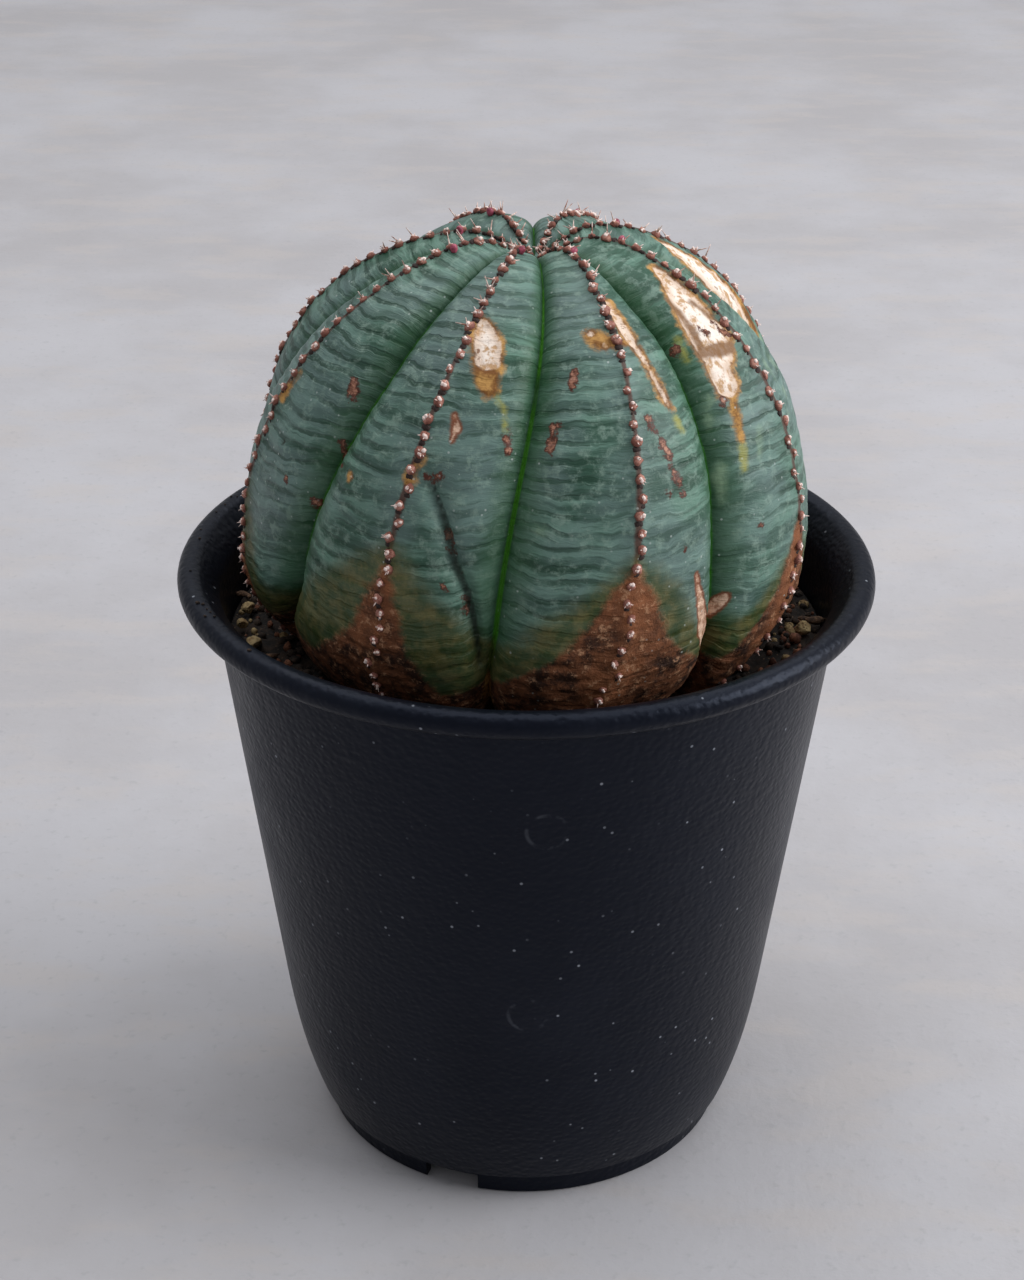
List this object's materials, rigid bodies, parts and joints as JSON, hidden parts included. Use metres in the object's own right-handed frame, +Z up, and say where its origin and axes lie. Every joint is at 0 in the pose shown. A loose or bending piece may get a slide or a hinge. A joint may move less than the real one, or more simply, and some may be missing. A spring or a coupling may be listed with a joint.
{
  "type": "potted euphorbia",
  "caption": "Ball-shaped ribbed succulent with stub-studded crests, rooted in gritty soil in a thin tapered plastic nursery pot with a rolled rim.",
  "frame": {"origin": "centre of the pot's base, on the surface it stands on", "axes": "+Z up through the middle of the pot and the plant; -Y is the front"},
  "size_m": [0.12, 0.12, 0.1662],
  "materials": {
    "pot_plastic": "satin black moulded plastic with a fine leather grain and a little dust",
    "soil": "dark, loose, gritty potting mix, fully matt",
    "plant_skin": null,
    "pumice": "rough yellow-tan pumice",
    "baked_clay": "rough brown baked clay granules"
  },
  "bodies": {
    "root": {"pot": "pot_plastic", "soil": "soil", "euphorbia": "plant_skin", "pumice_grain_01": "pumice", "pumice_grain_02": "pumice", "pumice_grain_03": "pumice", "clay_grain_04": "baked_clay", "clay_grain_05": "baked_clay", "pumice_grain_06": "pumice", "clay_grain_07": "baked_clay", "pumice_grain_08": "pumice", "clay_grain_09": "baked_clay", "clay_grain_10": "baked_clay", "pumice_grain_11": "pumice", "clay_grain_12": "baked_clay", "clay_grain_13": "baked_clay", "pumice_grain_14": "pumice", "clay_grain_15": "baked_clay", "pumice_grain_16": "pumice", "clay_grain_17": "baked_clay", "pumice_grain_18": "pumice", "clay_grain_19": "baked_clay", "pumice_grain_20": "pumice", "clay_grain_21": "baked_clay", "pumice_grain_22": "pumice"}
  },
  "joints": []
}
